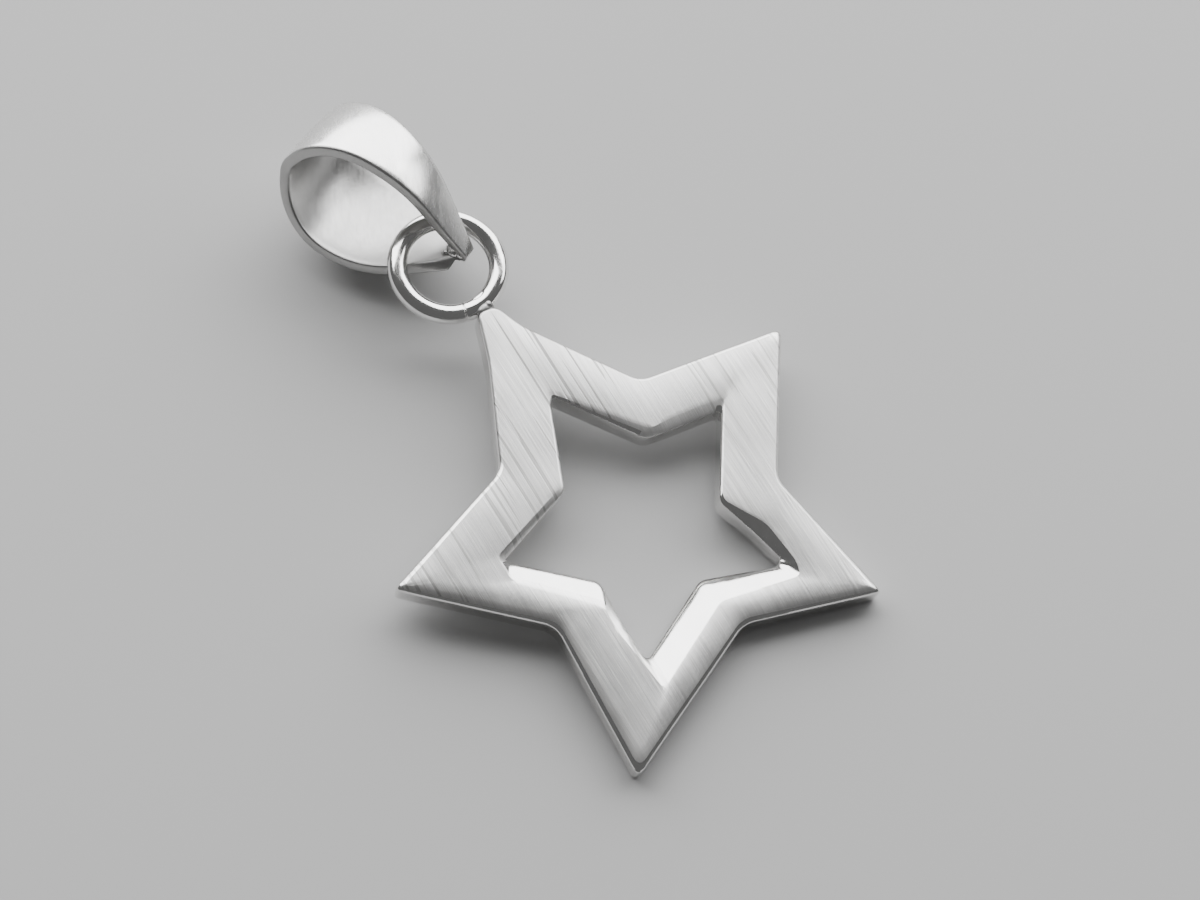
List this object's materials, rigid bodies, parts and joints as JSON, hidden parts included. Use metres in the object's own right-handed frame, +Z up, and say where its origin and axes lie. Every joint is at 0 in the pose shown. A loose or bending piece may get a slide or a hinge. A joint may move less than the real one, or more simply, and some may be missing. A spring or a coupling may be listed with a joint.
{
  "type": "pendant",
  "caption": "Open star pendant in brushed and polished silver, with a soldered ring at its top point and a folded leaf-shaped bail for a chain.",
  "frame": {"origin": "centre of the pendant's length and width at the height of the surface it lies on", "axes": "+Z up off the surface it lies on, +Y from the star's lower points towards the ring and the bail, +X to the star's right as seen from above with the ring at the top"},
  "size_m": [0.0197, 0.0302, 0.0065],
  "materials": {
    "satin_silver": "brushed top with polished shoulders and edges",
    "polished_silver": "polished"
  },
  "bodies": {
    "root": {"star_with_ring": "satin_silver", "bail": "polished_silver"}
  },
  "joints": []
}
